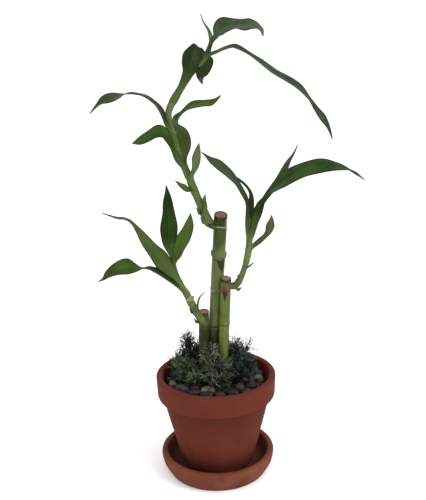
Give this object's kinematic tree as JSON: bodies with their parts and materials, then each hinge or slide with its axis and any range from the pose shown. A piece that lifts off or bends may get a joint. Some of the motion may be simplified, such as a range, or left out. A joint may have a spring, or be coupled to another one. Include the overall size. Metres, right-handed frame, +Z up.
{
  "type": "lucky bamboo in a clay pot",
  "caption": "Lucky bamboo: cut green canes with leafy side shoots, pebbles and moss round their feet, in a terracotta pot that stands in a matching saucer.",
  "frame": {"origin": "centre of the saucer's underside, on the surface that the part stands on", "axes": "+Z up along the pot's axis, -Y towards the front, +X to the viewer's right"},
  "size_m": [0.2294, 0.108, 0.4031],
  "materials": {
    "clay_saucer": "matt unglazed terracotta, a little paler than the pot",
    "clay_pot": "matt unglazed terracotta, fine-grained",
    "soil": "dark damp potting grit",
    "river_stone": "smooth water-worn river stones, brown to slate grey, slightly shiny",
    "moss_dark": "dark blue-green preserved reindeer moss, dull",
    "moss_green": "grey-green preserved reindeer moss, dull",
    "cane_green": "smooth waxy green stem with pale node rings",
    "shoot_green": "smooth pale green shoot wrapped in leaf bases",
    "leaf_dark": "glossy dark green living leaf, finely veined along its length",
    "leaf_light": "satin yellow-green living leaf, finely veined along its length",
    "dry_brown": "dry brown withered bract"
  },
  "bodies": {
    "root": {"saucer": "clay_saucer", "pot": "clay_pot", "soil": "soil", "pebbles": "river_stone", "moss_left_back": "moss_dark", "moss_left": "moss_green", "moss_front_small": "moss_green", "moss_front": "moss_green", "moss_right": "moss_dark", "moss_back": "moss_dark", "cane_tall": "cane_green", "cane_mid": "cane_green", "cane_short": "cane_green", "shoot_tall": "shoot_green", "shoot_mid": "shoot_green", "shoot_short": "shoot_green", "tendril": "dry_brown", "leaf_tall_1": "leaf_light", "leaf_tall_2": "leaf_light", "leaf_tall_3": "leaf_light", "leaf_tall_4": "leaf_dark", "leaf_tall_5": "leaf_light", "leaf_tall_6": "leaf_dark", "leaf_tall_7": "leaf_dark", "leaf_tall_8": "leaf_dark", "leaf_tall_9": "leaf_dark", "leaf_tall_10": "leaf_light", "leaf_mid_1": "leaf_light", "leaf_mid_2": "leaf_dark", "leaf_mid_3": "leaf_dark", "leaf_mid_4": "leaf_dark", "leaf_mid_5": "leaf_dark", "leaf_short_1": "leaf_light", "leaf_short_2": "leaf_light", "leaf_short_3": "leaf_dark", "leaf_short_4": "leaf_dark"}
  },
  "joints": []
}
